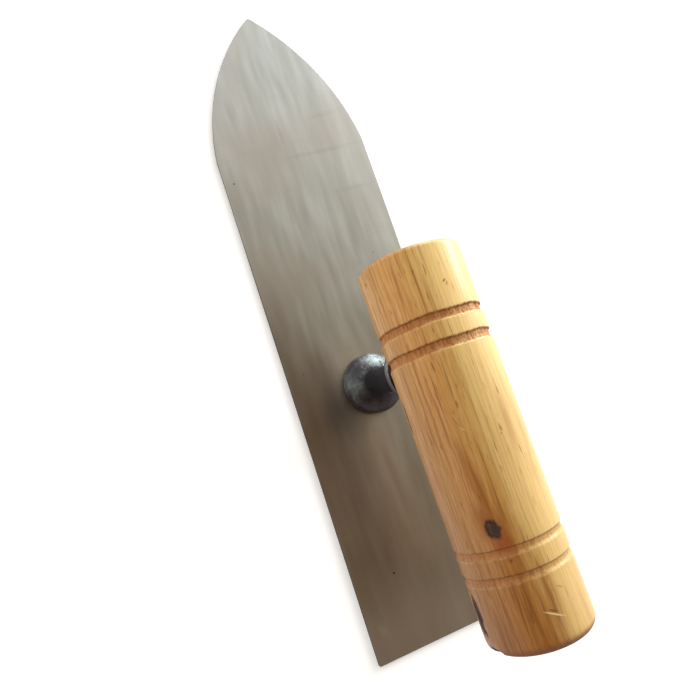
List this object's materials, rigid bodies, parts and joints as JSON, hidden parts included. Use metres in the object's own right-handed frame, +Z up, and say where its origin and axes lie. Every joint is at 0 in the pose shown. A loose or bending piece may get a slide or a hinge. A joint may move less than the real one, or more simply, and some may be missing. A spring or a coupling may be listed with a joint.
{
  "type": "plastering trowel",
  "caption": "Pointed plastering trowel: thin flat steel blade with a square heel, a leaning cast post and a grooved round wooden handle, for spreading and smoothing mortar.",
  "frame": {"origin": "on the sole's plane, under the middle of the whole object's box", "axes": "+X along the blade toward its tip, +Y to the user's left when the tip points forward, +Z up from the sole to the handle"},
  "size_m": [0.29, 0.0704, 0.0897],
  "materials": {
    "blade_steel": "rolled spring steel, lengthwise brushed, dull and lightly worn",
    "post_iron": "dark blackened casting, slightly rough with a soft shine",
    "fastener_steel": "plain turned steel",
    "handle_wood": "thinly varnished softwood with lengthwise grain, knots and darker grooves"
  },
  "bodies": {
    "root": {"blade": "blade_steel", "sole_screw": "fastener_steel", "post": "post_iron", "handle_stud": "fastener_steel", "handle": "handle_wood"}
  },
  "joints": []
}
